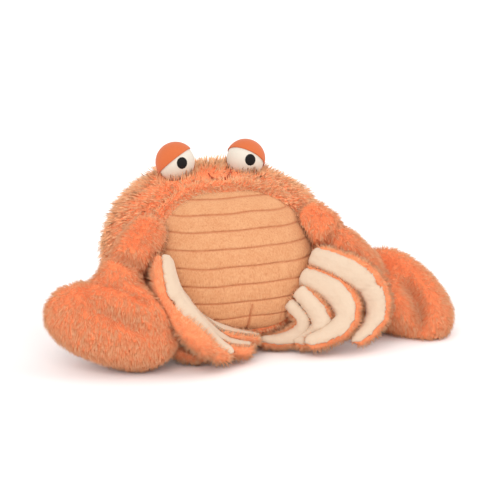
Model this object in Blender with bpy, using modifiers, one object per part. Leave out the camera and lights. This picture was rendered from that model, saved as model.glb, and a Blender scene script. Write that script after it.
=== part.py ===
# Plush crab, sitting up with its belly to the front.
# Metres, +Z up, the crab faces -Y, its own left side is +X, the table is z = 0.
import math

import bmesh
import bpy
from mathutils import Matrix, Vector

# Clearances between sewn pieces that touch
SEAM = 0.0003
SOCKET_SEAM = 0.0007
TABLE = 0.0

# Body: a squat dome that leans back, flattened where it sits
BODY_WIDTH = 0.226
BODY_DEPTH = 0.191
BODY_TOP = 0.165
BODY_LEVEL = 0.077
BODY_LEAN = math.radians(15)
BODY_FULLNESS = 2.2
BODY_CUTS = 11

# Belly panel of ribbed short pile, set into the front of the body
BELLY_WIDTH = 0.155
BELLY_LOW = 0.025
BELLY_HIGH = 0.147
BELLY_FULLNESS = 2.3
BELLY_RIBS = 9
BELLY_TOP_RIB = 0.33
BELLY_COLUMNS = 8
BELLY_THICKNESS = 0.007
BELLY_SINK = 0.0008
RIB_DEPTH = 0.0022
RECESS_SPARE = 0.0004

# Eyes: a white ball held in a lid that is a hollow half ball
EYE_RADIUS = 0.020
EYE_SPREAD = 0.0726
EYE_BACK = 0.0325
EYE_HEIGHT = 0.1697
EYE_TILT = 0.0007
EYE_SEGMENTS = 16
EYE_RINGS = 10
LID_THICKNESS = 0.0012
LID_LIFT = 0.002
LID_TURN = (0.52, 0.39, 0.76)
PUPIL_WIDTH = 0.0112
PUPIL_HEIGHT = 0.0122
PUPIL_THICKNESS = 0.0009
PUPIL_LOOK = (-0.06, -0.99, 0.12)

# Mouth: one curved stitch pulled into the pile
MOUTH_WIDTH = 0.024
MOUTH_HEIGHT = 0.157
MOUTH_SMILE = 0.0045
MOUTH_CORD = 0.0024

# Arms: two stuffed lengths with a crease at the elbow
ARM_THICKNESS = 0.046
ARM_END = 0.008
ARM_RINGS = (0.0, 0.06, 0.2, 0.4, 0.6, 0.8, 0.94, 1.0)
ARM_END_FLAT = 0.12
ARM_SIDES = 10
FOREARM_THICKNESS = 0.046
FOREARM_INTO_CLAW = {"right": 0.3, "left": 0.4}
SHOULDER_SPREAD = 0.160
SHOULDER_FORWARD = 0.028
SHOULDER_HEIGHT = 0.117
SHOULDER_INSIDE = 0.012
ELBOW_REACH = {"right": (0.030, -0.028, -0.021), "left": (0.015, -0.017, -0.013)}
WRIST_REACH = {"right": (0.021, -0.003, -0.019), "left": (0.032, 0.011, -0.041)}

# Claws: a broad outer finger and a smaller inner finger pressed against it
CLAW_LENGTH = 0.131
CLAW_WIDTH = 0.075
CLAW_THICKNESS = 0.062
PINCER_LENGTH = 0.100
PINCER_WIDTH = 0.050
PINCER_THICKNESS = 0.055
PINCER_OFFSET = {"right": (0.014, 0.0, 0.021), "left": (-0.004, 0.008, 0.021)}
PINCER_TURN = math.radians(9)
CLAW_FULLNESS = 2.2
CLAW_CUTS = 6
PINCER_CUTS = 5
CLAW_REACH = {"right": (0.0, -0.013, -0.034), "left": (0.051, -0.008, -0.030)}
CLAW_POINTS = {"right": (0.866, -0.430, -0.249), "left": (0.307, -0.833, -0.461)}
CLAW_SIDES = {"right": (0.300, 0.100, 0.936), "left": (-0.930, 0.200, -0.300)}

# Legs: four a side, an outer half of pile and an under half of smooth cloth
LEG_WIDTH = 0.033
LEG_DEPTH = 0.023
LEG_SEAM_LEVEL = 0.58
LEG_SIZES = {"1": 1.0, "2": 0.96, "3": 0.74, "4": 0.58}
LEG_ROOT_SHARE = 0.8
LEG_TIP_SHARE = 0.5
LEG_SINK = 0.005
LEG_RINGS = (0.0, 0.12, 0.26, 0.39, 0.51, 0.63, 0.76, 0.88, 0.96)
LEG_FACE_STEPS = 3
LEG_BACK_STEPS = 6

FUR = (0.86, 0.30, 0.13, 1.0)
PILE = (0.85, 0.31, 0.14, 1.0)
BELLY_CLOTH = (0.85, 0.42, 0.20, 1.0)
CREAM_CLOTH = (0.90, 0.74, 0.55, 1.0)
LID_CLOTH = (0.80, 0.20, 0.06, 1.0)
EYE_CLOTH = (0.86, 0.83, 0.77, 1.0)
BLACK_THREAD = (0.012, 0.010, 0.009, 1.0)
MOUTH_THREAD = (0.45, 0.12, 0.05, 1.0)

# Legs as they flop: root and joints from the foot of the body, then the way
# that the cream half faces at the root, the knee and the tip
LEG_ROUTES = {
    "left_1": (
        ((0.080, -0.060, 0.084), (0.097, -0.080, 0.079), (0.115, -0.090, 0.067),
         (0.125, -0.096, 0.049), (0.120, -0.104, 0.029), (0.096, -0.106, 0.011)),
        ((-0.25, -0.95, 0.20), (-0.72, -0.65, 0.22), (-0.35, -0.55, 0.76)),
    ),
    "left_2": (
        ((0.067, -0.066, 0.067), (0.081, -0.080, 0.062), (0.092, -0.090, 0.051),
         (0.093, -0.099, 0.036), (0.078, -0.102, 0.022), (0.050, -0.098, 0.012)),
        ((-0.25, -0.95, 0.20), (-0.68, -0.68, 0.25), (-0.25, -0.55, 0.80)),
    ),
    "left_3": (
        ((0.057, -0.075, 0.054), (0.065, -0.085, 0.044), (0.071, -0.091, 0.032),
         (0.066, -0.091, 0.020), (0.055, -0.086, 0.013), (0.044, -0.080, 0.012)),
        ((-0.25, -0.95, 0.15), (-0.50, -0.80, 0.20), (-0.15, -0.65, 0.72)),
    ),
    "left_4": (
        ((0.047, -0.073, 0.043), (0.056, -0.080, 0.033), (0.052, -0.080, 0.019),
         (0.035, -0.074, 0.011), (0.015, -0.068, 0.010)),
        ((-0.25, -0.95, 0.15), (-0.40, -0.85, 0.25), (-0.10, -0.60, 0.78)),
    ),
    "right_1": (
        ((-0.079, -0.059, 0.091), (-0.081, -0.076, 0.078), (-0.077, -0.089, 0.061),
         (-0.063, -0.101, 0.042), (-0.047, -0.109, 0.025), (-0.029, -0.112, 0.013)),
        ((0.70, -0.72, 0.10), (0.60, -0.50, 0.55), (0.42, -0.15, 0.89)),
    ),
    "right_2": (
        ((-0.070, -0.060, 0.072), (-0.066, -0.078, 0.055), (-0.050, -0.089, 0.034),
         (-0.027, -0.094, 0.017), (-0.001, -0.099, 0.013)),
        ((0.80, -0.55, 0.20), (0.50, -0.25, 0.80), (0.10, -0.12, 0.98)),
    ),
    "right_3": (
        ((-0.060, -0.058, 0.056), (-0.050, -0.073, 0.040), (-0.025, -0.081, 0.025),
         (0.011, -0.081, 0.016)),
        ((0.70, -0.60, 0.30), (0.40, -0.25, 0.85), (0.10, -0.12, 0.98)),
    ),
    "right_4": (
        ((-0.062, -0.058, 0.040), (-0.072, -0.071, 0.026), (-0.064, -0.083, 0.012),
         (-0.043, -0.092, 0.010)),
        ((0.60, -0.70, 0.30), (0.30, -0.40, 0.80), (0.05, -0.30, 0.95)),
    ),
}
# Stuffed pieces press on their neighbours: each gives way to the ones named here
GIVES_WAY = {
    "arm_left_upper": ("body", "leg_left_1"),
    "arm_left_fore": ("body", "arm_left_upper", "claw_left", "pincer_left", "leg_left_1"),
    "pincer_left": ("claw_left",),
    "arm_right_upper": ("body", "leg_right_1", "pincer_right"),
    "arm_right_fore": ("arm_right_upper", "claw_right", "pincer_right", "leg_right_1"),
    "claw_right": ("leg_right_1",),
    "pincer_right": ("claw_right", "leg_right_1"),
    "leg_left_1_back": ("body", "leg_left_2"),
    "leg_left_1_underside": ("leg_left_2",),
    "leg_left_2_back": ("body",),
    "leg_left_3_back": ("body", "leg_left_2", "leg_left_4"),
    "leg_left_3_underside": ("leg_left_2", "leg_left_4"),
    "leg_left_4_back": ("body",),
    "leg_right_1_back": ("body",),
    "leg_right_1_underside": ("body",),
    "leg_right_2_back": ("body", "leg_right_1", "claw_right", "pincer_right"),
    "leg_right_2_underside": ("body", "leg_right_1"),
    "leg_right_3_back": ("body", "leg_right_2"),
    "leg_right_3_underside": ("body", "leg_right_2"),
    "leg_right_4_back": ("body", "claw_right"),
    "leg_right_4_underside": ("body", "leg_right_3", "claw_right"),
}


def clear_scene():
    for old in list(bpy.data.objects):
        bpy.data.objects.remove(old, do_unlink=True)


def new_collection(name):
    made = bpy.data.collections.new(name)
    bpy.context.scene.collection.children.link(made)
    return made


def cloth(name, colour, roughness=0.9):
    made = bpy.data.materials.new(name)
    made.use_nodes = True
    shader = made.node_tree.nodes["Principled BSDF"]
    shader.inputs["Base Color"].default_value = colour
    shader.inputs["Roughness"].default_value = roughness
    shader.inputs["Metallic"].default_value = 0.0
    made.diffuse_color = colour
    return made


def mesh_object(name, bm, collection, material=None):
    bmesh.ops.recalc_face_normals(bm, faces=bm.faces[:])
    if bm.calc_volume(signed=True) < 0.0:
        bmesh.ops.reverse_faces(bm, faces=bm.faces[:])
    mesh = bpy.data.meshes.new(name)
    bm.to_mesh(mesh)
    bm.free()
    mesh.shade_smooth()
    made = bpy.data.objects.new(name, mesh)
    collection.objects.link(made)
    if material:
        mesh.materials.append(material)
    return made


def hide_cutter(cutter):
    cutter.hide_render = True
    cutter.display_type = "WIRE"


def swelled(source, distance, cutters):
    """A copy of a piece grown all round by a clearance, to cut its seat."""
    mesh = source.data.copy()
    normals = [v.normal.copy() for v in mesh.vertices]
    for vertex, normal in zip(mesh.vertices, normals):
        vertex.co += normal * distance
    made = bpy.data.objects.new(source.name + "_seat", mesh)
    made.location = source.location
    cutters.objects.link(made)
    hide_cutter(made)
    return made


def cut(piece, cutter):
    modifier = piece.modifiers.new("seat_" + cutter.name, "BOOLEAN")
    modifier.operation = "DIFFERENCE"
    modifier.solver = "EXACT"
    modifier.object = cutter


def stuffed_ball(half_sizes, fullness, cuts):
    """A superellipsoid made from a subdivided cube."""
    bm = bmesh.new()
    bmesh.ops.create_cube(bm, size=2.0)
    bmesh.ops.subdivide_edges(bm, edges=bm.edges[:], cuts=cuts, use_grid_fill=True)
    for vertex in bm.verts:
        way = vertex.co.normalized()
        total = sum(abs(part) ** fullness for part in way)
        reach = total ** (-1.0 / fullness)
        vertex.co = Vector(part * reach * half for part, half in zip(way, half_sizes))
    return bm


def settle(bm):
    """Flatten what would reach below the table."""
    for vertex in bm.verts:
        vertex.co.z = max(vertex.co.z, TABLE)


def body_front(x, z):
    """How far forward the front of the body is at a width and height."""
    half_height = BODY_TOP - BODY_LEVEL
    share = abs(2.0 * x / BODY_WIDTH) ** BODY_FULLNESS
    share += abs((z - BODY_LEVEL) / half_height) ** BODY_FULLNESS
    bulge = max(1.0 - share, 0.0) ** (1.0 / BODY_FULLNESS)
    return math.tan(BODY_LEAN) * z - BODY_DEPTH / 2.0 * bulge


def body_form(name, collection, material=None):
    half_height = BODY_TOP - BODY_LEVEL
    halves = (BODY_WIDTH / 2.0, BODY_DEPTH / 2.0, half_height)
    bm = stuffed_ball(halves, BODY_FULLNESS, BODY_CUTS)
    for vertex in bm.verts:
        vertex.co.z += BODY_LEVEL
        vertex.co.y += math.tan(BODY_LEAN) * vertex.co.z
    settle(bm)
    return mesh_object(name, bm, collection, material)


def belly_outline(height, grow):
    """Half width of the panel at a height."""
    middle = (BELLY_LOW + BELLY_HIGH) / 2.0
    half = (BELLY_HIGH - BELLY_LOW) / 2.0 + grow
    share = min(abs((height - middle) / half), 1.0) ** BELLY_FULLNESS
    return (BELLY_WIDTH / 2.0 + grow) * (1.0 - share) ** (1.0 / BELLY_FULLNESS)


def belly_edge_height(x, grow, upward):
    """Height of the panel's top or bottom edge at a width."""
    middle = (BELLY_LOW + BELLY_HIGH) / 2.0
    half = (BELLY_HIGH - BELLY_LOW) / 2.0 + grow
    share = min(abs(x / (BELLY_WIDTH / 2.0 + grow)), 1.0) ** BELLY_FULLNESS
    return middle + upward * half * (1.0 - share) ** (1.0 / BELLY_FULLNESS)


def rib_heights():
    """Heights of the grooves: even steps down the front of the body.
    Only part of the highest rib shows below the top edge."""
    half_height = BODY_TOP - BODY_LEVEL
    low = math.asin(max((BELLY_LOW - BODY_LEVEL) / half_height, -1.0))
    high = math.asin(min((BELLY_HIGH - BODY_LEVEL) / half_height, 1.0))
    rib = (high - low) / (BELLY_RIBS - 1 + BELLY_TOP_RIB)
    steps = [low + rib * n for n in range(1, BELLY_RIBS)]
    return [BODY_LEVEL + half_height * math.sin(step) for step in steps]


def belly_grid(grow, shares):
    """Rows of (x, z, share across a rib) that cover the panel's outline.
    Between grooves the sides run straight, so a seat cut from fewer rows fits."""
    grooves = rib_heights()
    rows = []
    spread = [2.0 * n / BELLY_COLUMNS - 1.0 for n in range(BELLY_COLUMNS + 1)]
    first = belly_outline(grooves[0], grow)
    last = belly_outline(grooves[-1], grow)
    for share in shares:
        row = []
        for part in spread:
            x = part * first
            edge = belly_edge_height(x, grow, -1.0)
            row.append((x, edge + (grooves[0] - edge) * share, share if abs(part) < 1.0 else 0.0))
        rows.append(row)
    for low, high in zip(grooves[:-1], grooves[1:]):
        for share in shares:
            half_low = belly_outline(low, grow)
            half_high = belly_outline(high, grow)
            half = half_low + (half_high - half_low) * share
            height = low + (high - low) * share
            rows.append([(part * half, height, share) for part in spread])
    for share in tuple(shares) + (1.0,):
        row = []
        for part in spread:
            x = part * last
            edge = belly_edge_height(x, grow, 1.0)
            height = grooves[-1] + (edge - grooves[-1]) * share
            row.append((x, height, share if abs(part) < 1.0 else 0.0))
        rows.append(row)
    return rows


def slab(front, back):
    """A closed solid between two grids of points with the same rows."""
    bm = bmesh.new()
    sheets = []
    for grid in (front, back):
        sheets.append([[bm.verts.new(point) for point in row] for row in grid])
    rows = len(front)
    columns = len(front[0])
    for sheet in sheets:
        for r in range(rows - 1):
            for c in range(columns - 1):
                bm.faces.new((sheet[r][c], sheet[r][c + 1],
                              sheet[r + 1][c + 1], sheet[r + 1][c]))
    rim = [(0, c) for c in range(columns)]
    rim += [(r, columns - 1) for r in range(1, rows)]
    rim += [(rows - 1, c) for c in range(columns - 2, -1, -1)]
    rim += [(r, 0) for r in range(rows - 2, 0, -1)]
    for (r0, c0), (r1, c1) in zip(rim, rim[1:] + rim[:1]):
        bm.faces.new((sheets[0][r0][c0], sheets[0][r1][c1],
                      sheets[1][r1][c1], sheets[1][r0][c0]))
    bmesh.ops.remove_doubles(bm, verts=bm.verts[:], dist=0.00002)
    return bm


def make_belly(collection, material):
    front = []
    back = []
    for row in belly_grid(0.0, (0.0, 0.2, 0.5, 0.8)):
        front_row = []
        back_row = []
        for x, z, share in row:
            crown = 1.0 - abs(2.0 * share - 1.0) ** 3
            surface = body_front(x, z) + BELLY_SINK
            front_row.append((x, surface + RIB_DEPTH * (1.0 - crown), z))
            back_row.append((x, surface + BELLY_THICKNESS, z))
        front.append(front_row)
        back.append(back_row)
    return mesh_object("belly_panel", slab(front, back), collection, material)


def belly_recess(cutters):
    """The seat for the panel: its outline grown by the seam, open to the front."""
    front = []
    back = []
    depth = BELLY_SINK + BELLY_THICKNESS + RECESS_SPARE
    for row in belly_grid(SEAM, (0.0,)):
        front.append([(x, -BODY_DEPTH, z) for x, z, share in row])
        back.append([(x, body_front(x, z) + depth, z) for x, z, share in row])
    cutter = mesh_object("belly_recess", slab(front, back), cutters)
    hide_cutter(cutter)
    return cutter


def smooth_route(points, share):
    """A point on a smooth curve through the given points."""
    spans = len(points) - 1
    place = min(share * spans, spans - 1e-6)
    span = int(place)
    t = place - span
    p1 = Vector(points[span])
    p2 = Vector(points[span + 1])
    p0 = Vector(points[span - 1]) if span > 0 else p1 * 2.0 - p2
    p3 = Vector(points[span + 2]) if span + 2 <= spans else p2 * 2.0 - p1
    return 0.5 * ((2.0 * p1) + (p2 - p0) * t + (2.0 * p0 - 5.0 * p1 + 4.0 * p2 - p3) * t * t
                  + (3.0 * p1 - p0 - 3.0 * p2 + p3) * t * t * t)


def loft(rings, apex=None):
    """A closed solid through rings of points, its far end a cap or one point."""
    bm = bmesh.new()
    made = [[bm.verts.new(point) for point in ring] for ring in rings]
    count = len(rings[0])
    for low, high in zip(made[:-1], made[1:]):
        for n in range(count):
            m = (n + 1) % count
            bm.faces.new((low[n], low[m], high[m], high[n]))
    bm.faces.new(list(reversed(made[0])))
    if apex is None:
        bm.faces.new(made[-1])
    else:
        tip = bm.verts.new(apex)
        for n in range(count):
            bm.faces.new((made[-1][n], made[-1][(n + 1) % count], tip))
    bmesh.ops.triangulate(bm, faces=bm.faces[:])
    return bm


def arm_length(name, start, end, thickness, collection, material):
    """A straight stuffed tube with rounded ends."""
    way = (end - start).normalized()
    side = way.cross(Vector((0.0, 0.0, 1.0))).normalized()
    rise = side.cross(way)
    rings = []
    for share in ARM_RINGS:
        centre = start.lerp(end, share)
        radius = thickness / 2.0 * math.sqrt(max(1.0 - abs(2.0 * share - 1.0) ** 6, ARM_END_FLAT))
        ring = []
        for n in range(ARM_SIDES):
            angle = 2.0 * math.pi * n / ARM_SIDES
            ring.append(centre + (side * math.cos(angle) + rise * math.sin(angle)) * radius)
        rings.append(ring)
    return mesh_object(name, loft(rings), collection, material)


def leg_frames(name):
    """Centre, side, face and size share along a leg, and its tip."""
    route, faces = LEG_ROUTES[name]
    size = LEG_SIZES[name[-1]]
    spine = [Vector(point) for point in route]
    spine[0] += (spine[0] - spine[1]).normalized() * LEG_SINK
    frames = []
    for share in LEG_RINGS:
        centre = smooth_route(spine, share)
        ahead = smooth_route(spine, min(share + 0.02, 1.0))
        behind = smooth_route(spine, max(share - 0.02, 0.0))
        way = (ahead - behind).normalized()
        face = smooth_route(faces, share)
        side = way.cross(face).normalized()
        face = side.cross(way).normalized()
        swell = LEG_ROOT_SHARE + (1.0 - LEG_ROOT_SHARE) * min(share / 0.3, 1.0)
        taper = 1.0 - (1.0 - LEG_TIP_SHARE) * max((share - 0.5) / 0.46, 0.0) ** 1.3
        frames.append((centre, side, face, swell * taper * size))
    return frames, spine[-1]


def half_ring(frame, sign, grow=0.0):
    """The face (+1) or back (-1) of a round section split along its seam."""
    centre, side, face, share = frame
    half_width = LEG_WIDTH / 2.0 * share + grow
    half_depth = LEG_DEPTH / 2.0 * (0.3 + 0.7 * share) + grow
    seam_angle = math.asin(LEG_SEAM_LEVEL)
    if sign > 0.0:
        steps = LEG_FACE_STEPS
        start = seam_angle
        sweep = math.pi - 2.0 * seam_angle
    else:
        steps = LEG_BACK_STEPS
        start = math.pi - seam_angle
        sweep = math.pi + 2.0 * seam_angle
    apart = sign * SEAM / 2.0 if grow == 0.0 else 0.0
    ring = []
    for n in range(steps + 1):
        angle = start + sweep * n / steps
        rise = half_depth * math.sin(angle) + apart
        ring.append(centre + side * half_width * math.cos(angle) + face * rise)
    return ring


def leg_half(name, leg, sign, collection, material):
    """One half of a leg, closed by a point at the tip."""
    frames, apex = leg
    rings = [half_ring(frame, sign) for frame in frames]
    middle = LEG_DEPTH / 2.0 * LEG_SEAM_LEVEL * LEG_TIP_SHARE + sign * LEG_DEPTH * 0.08
    bm = loft(rings, apex + frames[-1][2] * middle)
    settle(bm)
    return mesh_object(name, bm, collection, material)


def leg_seat(name, leg, cutters):
    """A whole leg grown by the seam, to press into its neighbours."""
    frames, apex = leg
    rings = []
    for frame in frames:
        face = half_ring(frame, 1.0, SOCKET_SEAM)
        rings.append(face + half_ring(frame, -1.0, SOCKET_SEAM)[1:-1])
    root_way = (frames[0][0] - frames[1][0]).normalized()
    rings[0] = [point + root_way * SOCKET_SEAM for point in rings[0]]
    way = (apex - frames[-1][0]).normalized()
    cutter = mesh_object(name + "_seat", loft(rings, apex + way * SOCKET_SEAM), cutters)
    hide_cutter(cutter)
    return cutter


def make_eye(side_name, collection, cutters, cloths):
    """Lid, white ball and pupil of one eye, and the two seats that the body gets."""
    mirror = 1.0 if side_name == "left" else -1.0
    centre = Vector((mirror * EYE_SPREAD / 2.0, EYE_BACK, EYE_HEIGHT - mirror * EYE_TILT))
    facet_share = math.cos(math.pi / EYE_SEGMENTS) ** 2
    white_radius = (EYE_RADIUS - LID_THICKNESS) * facet_share - SEAM
    bm = bmesh.new()
    bmesh.ops.create_uvsphere(bm, u_segments=EYE_SEGMENTS, v_segments=EYE_RINGS, radius=white_radius)
    white = mesh_object(f"eye_{side_name}_white", bm, collection, cloths["eye"])
    white.location = centre

    lid = lid_shell(f"eye_{side_name}_lid", collection, cloths["lid"])
    turn = Vector((mirror * LID_TURN[0], LID_TURN[1], LID_TURN[2]))
    lid.rotation_mode = "QUATERNION"
    lid.rotation_quaternion = turn.to_track_quat("Z", "Y")
    lid.location = centre

    look = Vector((mirror * PUPIL_LOOK[0], PUPIL_LOOK[1], PUPIL_LOOK[2])).normalized()
    pupil_patch(f"eye_{side_name}_pupil", centre, look, white_radius, collection, cloths["pupil"])

    ball_seat = swelled(white, SEAM, cutters)
    lid_seat = mesh_object(f"eye_{side_name}_lid_seat", lid_dome(), cutters)
    lid_seat.rotation_mode = "QUATERNION"
    lid_seat.rotation_quaternion = lid.rotation_quaternion
    lid_seat.location = centre
    hide_cutter(lid_seat)
    return [ball_seat, lid_seat]


def lid_dome():
    """The lid filled in and grown by the seam."""
    bm = bmesh.new()
    bmesh.ops.create_uvsphere(bm, u_segments=EYE_SEGMENTS, v_segments=EYE_RINGS,
                              radius=EYE_RADIUS + SOCKET_SEAM)
    everything = bm.verts[:] + bm.edges[:] + bm.faces[:]
    bmesh.ops.bisect_plane(bm, geom=everything, plane_co=(0.0, 0.0, LID_LIFT - SEAM),
                           plane_no=(0.0, 0.0, 1.0), clear_inner=True)
    rim = [edge for edge in bm.edges if edge.is_boundary]
    bmesh.ops.contextual_create(bm, geom=rim)
    return bm


def lid_shell(name, collection, material):
    """A hollow half ball turned from its section."""
    inner = EYE_RADIUS - LID_THICKNESS
    steps = 6
    rim = math.acos(LID_LIFT / EYE_RADIUS)
    bm = bmesh.new()
    points = []
    for n in range(steps + 1):
        angle = rim * n / steps
        points.append((EYE_RADIUS * math.sin(angle), 0.0, EYE_RADIUS * math.cos(angle)))
    rim = math.acos(LID_LIFT / inner)
    for n in range(steps, -1, -1):
        angle = rim * n / steps
        points.append((inner * math.sin(angle), 0.0, inner * math.cos(angle)))
    section = [bm.verts.new(point) for point in points]
    for low, high in zip(section[:-1], section[1:]):
        bm.edges.new((low, high))
    mesh = bpy.data.meshes.new(name)
    bm.to_mesh(mesh)
    bm.free()
    mesh.materials.append(material)
    made = bpy.data.objects.new(name, mesh)
    collection.objects.link(made)
    turn = made.modifiers.new("turn", "SCREW")
    turn.axis = "Z"
    turn.angle = 2.0 * math.pi
    turn.steps = EYE_SEGMENTS
    turn.render_steps = EYE_SEGMENTS
    turn.use_merge_vertices = True
    turn.merge_threshold = 0.00001
    turn.use_smooth_shade = True
    return made


def pupil_patch(name, centre, look, white_radius, collection, material):
    """A thin oval of thread that follows the ball."""
    side = Vector((0.0, 0.0, 1.0)).cross(look).normalized()
    rise = look.cross(side)
    segments = 14
    rows = 2
    bm = bmesh.new()
    layers = []
    for radius in (white_radius + SEAM, white_radius + SEAM + PUPIL_THICKNESS):
        rings = []
        for row in range(1, rows + 1):
            ring = []
            for n in range(segments):
                angle = 2.0 * math.pi * n / segments
                across = PUPIL_WIDTH / 2.0 * math.cos(angle) * row / rows
                along = PUPIL_HEIGHT / 2.0 * math.sin(angle) * row / rows
                way = (look * radius + side * across + rise * along).normalized()
                ring.append(bm.verts.new(centre + way * radius))
            rings.append(ring)
        layers.append((bm.verts.new(centre + look * radius), rings))
    for pole, rings in layers:
        for n in range(segments):
            bm.faces.new((pole, rings[0][n], rings[0][(n + 1) % segments]))
        for low, high in zip(rings[:-1], rings[1:]):
            for n in range(segments):
                m = (n + 1) % segments
                bm.faces.new((low[n], high[n], high[m], low[m]))
    inner = layers[0][1][-1]
    outer = layers[1][1][-1]
    for n in range(segments):
        m = (n + 1) % segments
        bm.faces.new((inner[n], outer[n], outer[m], inner[m]))
    return mesh_object(name, bm, collection, material)


def mouth_curve(name, grow, collection):
    """The smile as a round cord that follows the front of the body."""
    curve = bpy.data.curves.new(name, "CURVE")
    curve.dimensions = "3D"
    curve.bevel_depth = MOUTH_CORD / 2.0 + grow
    curve.bevel_resolution = 1
    curve.use_fill_caps = True
    spline = curve.splines.new("POLY")
    count = 7
    spline.points.add(count - 1)
    for n in range(count):
        part = 2.0 * n / (count - 1) - 1.0
        x = part * (MOUTH_WIDTH / 2.0 + grow)
        z = MOUTH_HEIGHT + MOUTH_SMILE * part * part
        spline.points[n].co = (x, body_front(x, z), z, 1.0)
    made = bpy.data.objects.new(name, curve)
    collection.objects.link(made)
    return made


def make_mouth(collection, cutters, material):
    stitch = mouth_curve("mouth_stitch", 0.0, collection)
    stitch.data.materials.append(material)
    round_groove = mouth_curve("mouth_groove_curve", SOCKET_SEAM, cutters)
    bpy.context.view_layer.update()
    depsgraph = bpy.context.evaluated_depsgraph_get()
    mesh = bpy.data.meshes.new_from_object(round_groove.evaluated_get(depsgraph))
    bm = bmesh.new()
    bm.from_mesh(mesh)
    bmesh.ops.remove_doubles(bm, verts=bm.verts[:], dist=0.00001)
    groove = mesh_object("mouth_groove", bm, cutters)
    groove.matrix_world = round_groove.matrix_world.copy()
    bpy.data.objects.remove(round_groove, do_unlink=True)
    hide_cutter(groove)
    return groove


def finger(name, half_sizes, pose, cuts, collection, material):
    """One stuffed finger of a claw."""
    bm = stuffed_ball(half_sizes, CLAW_FULLNESS, cuts)
    bm.transform(pose)
    settle(bm)
    return mesh_object(name, bm, collection, material)


def claw_pose(side_name, centre):
    """Claw axes: X to the finger tips, Z to the inner finger, Y through it."""
    point = Vector(CLAW_POINTS[side_name]).normalized()
    width = Vector(CLAW_SIDES[side_name])
    width = (width - point * width.dot(point)).normalized()
    through = width.cross(point)
    turn = Matrix((point, through, width)).transposed().to_4x4()
    return Matrix.Translation(centre) @ turn


def make_arm(side_name, collection, pile):
    """Upper arm, forearm and the two fingers of the claw."""
    mirror = 1.0 if side_name == "left" else -1.0
    root = Vector((mirror * SHOULDER_SPREAD / 2.0, -SHOULDER_FORWARD, SHOULDER_HEIGHT))
    reach = ELBOW_REACH[side_name]
    elbow = root + Vector((mirror * reach[0], reach[1], reach[2]))
    reach = WRIST_REACH[side_name]
    wrist = elbow + Vector((mirror * reach[0], reach[1], reach[2]))
    reach = CLAW_REACH[side_name]
    claw_centre = wrist + Vector((mirror * reach[0], reach[1], reach[2]))

    along = (elbow - root).normalized()
    start = root - along * SHOULDER_INSIDE
    past_elbow = elbow + along * ARM_END
    arm_length(f"arm_{side_name}_upper", start, past_elbow, ARM_THICKNESS, collection, pile)
    hand = wrist.lerp(claw_centre, FOREARM_INTO_CLAW[side_name])
    arm_length(f"arm_{side_name}_fore", elbow, hand, FOREARM_THICKNESS, collection, pile)

    pose = claw_pose(side_name, claw_centre)
    halves = (CLAW_LENGTH / 2.0, CLAW_THICKNESS / 2.0, CLAW_WIDTH / 2.0)
    finger(f"claw_{side_name}", halves, pose, CLAW_CUTS, collection, pile)
    halves = (PINCER_LENGTH / 2.0, PINCER_THICKNESS / 2.0, PINCER_WIDTH / 2.0)
    beside = Matrix.Translation(PINCER_OFFSET[side_name]) @ Matrix.Rotation(PINCER_TURN, 4, "Y")
    finger(f"pincer_{side_name}", halves, pose @ beside, PINCER_CUTS, collection, pile)


def press_together(pieces, legs, cutters):
    """Cut each piece where its neighbours press into it."""
    seats = {}
    for name, others in GIVES_WAY.items():
        for other in others:
            if other not in seats and other in pieces:
                seats[other] = swelled(pieces[other], SEAM, cutters)
            elif other not in seats:
                seats[other] = leg_seat(other, legs[other[len("leg_"):]], cutters)
            cut(pieces[name], seats[other])


def make_crab():
    clear_scene()
    collection = new_collection("plush_crab")
    cutters = new_collection("cutters")
    fur = cloth("long_pile", FUR)
    pile = cloth("short_pile", PILE)
    cream = cloth("cream_cloth", CREAM_CLOTH, 0.85)
    eye_cloths = {
        "lid": cloth("lid_cloth", LID_CLOTH, 0.75),
        "eye": cloth("eye_cloth", EYE_CLOTH, 0.8),
        "pupil": cloth("black_thread", BLACK_THREAD, 0.5),
    }
    body = body_form("body", collection, fur)
    make_belly(collection, cloth("ribbed_pile", BELLY_CLOTH))
    recesses = [belly_recess(cutters)]
    for side_name in ("left", "right"):
        recesses += make_eye(side_name, collection, cutters, eye_cloths)
        make_arm(side_name, collection, pile)
    recesses.append(make_mouth(collection, cutters, cloth("mouth_thread", MOUTH_THREAD, 0.8)))
    legs = {name: leg_frames(name) for name in LEG_ROUTES}
    for name, leg in legs.items():
        leg_half(f"leg_{name}_back", leg, -1.0, collection, pile)
        leg_half(f"leg_{name}_underside", leg, 1.0, collection, cream)
    press_together({piece.name: piece for piece in collection.objects}, legs, cutters)
    for recess in recesses:
        cut(body, recess)


make_crab()
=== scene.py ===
# Plush crab: cloth, pile and light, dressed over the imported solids
# Metres, +Z up, the crab faces -Y and its own left side is +X
import math

import bmesh
import bpy
import numpy as np
from mathutils import Matrix, Vector
from mathutils.bvhtree import BVHTree
from mathutils.kdtree import KDTree


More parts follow.
